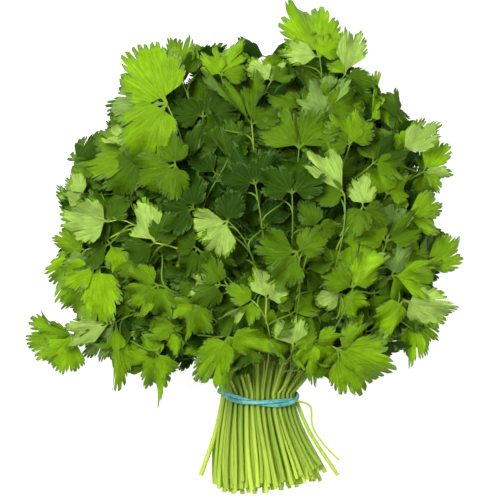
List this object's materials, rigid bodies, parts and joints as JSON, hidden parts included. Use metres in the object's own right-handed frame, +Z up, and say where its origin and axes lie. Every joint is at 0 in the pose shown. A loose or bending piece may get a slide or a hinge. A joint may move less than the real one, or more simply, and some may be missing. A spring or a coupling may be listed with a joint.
{
  "type": "coriander bunch",
  "caption": "Fresh cut coriander stems with lobed leaves, tied at the neck with a rubber band and lying on their side.",
  "frame": {"origin": "centre of the bounding box's underside, on the surface that the bunch lies on", "axes": "+Y from the cut ends along the stems to the leaf tips, +X to the right seen from above, +Z up out of the surface"},
  "size_m": [0.2446, 0.2784, 0.1024],
  "materials": {
    "leaf": "satin",
    "stem": "satin",
    "rubber_band": "satin"
  },
  "bodies": {
    "root": {"inner_stems": "stem", "loose_stem_1": "stem", "loose_stem_2": "stem", "rubber_band": "rubber_band", "slipped_stalk": "stem", "sprig_01": "leaf", "sprig_02": "leaf", "sprig_03": "leaf", "sprig_04": "leaf", "sprig_05": "leaf", "sprig_06": "leaf", "sprig_07": "leaf", "sprig_08": "leaf", "sprig_09": "leaf", "sprig_10": "leaf", "sprig_11": "leaf", "sprig_12": "leaf", "sprig_13": "leaf", "sprig_14": "leaf", "sprig_15": "leaf", "sprig_16": "leaf", "sprig_17": "leaf", "sprig_18": "leaf", "sprig_19": "leaf", "sprig_20": "leaf", "sprig_21": "leaf", "sprig_22": "leaf", "sprig_23": "leaf", "sprig_24": "leaf", "sprig_25": "leaf", "sprig_26": "leaf", "sprig_27": "leaf", "sprig_28": "leaf", "sprig_29": "leaf", "sprig_30": "leaf", "sprig_31": "leaf", "sprig_32": "leaf", "sprig_33": "leaf", "sprig_34": "leaf", "sprig_35": "leaf", "sprig_36": "leaf", "sprig_37": "leaf", "sprig_38": "leaf", "sprig_39": "leaf", "sprig_40": "leaf", "sprig_41": "leaf", "sprig_42": "leaf", "sprig_43": "leaf", "sprig_44": "leaf", "sprig_45": "leaf", "sprig_46": "leaf", "sprig_47": "leaf", "sprig_48": "leaf", "sprig_49": "leaf", "sprig_50": "leaf", "sprig_51": "leaf"}
  },
  "joints": []
}
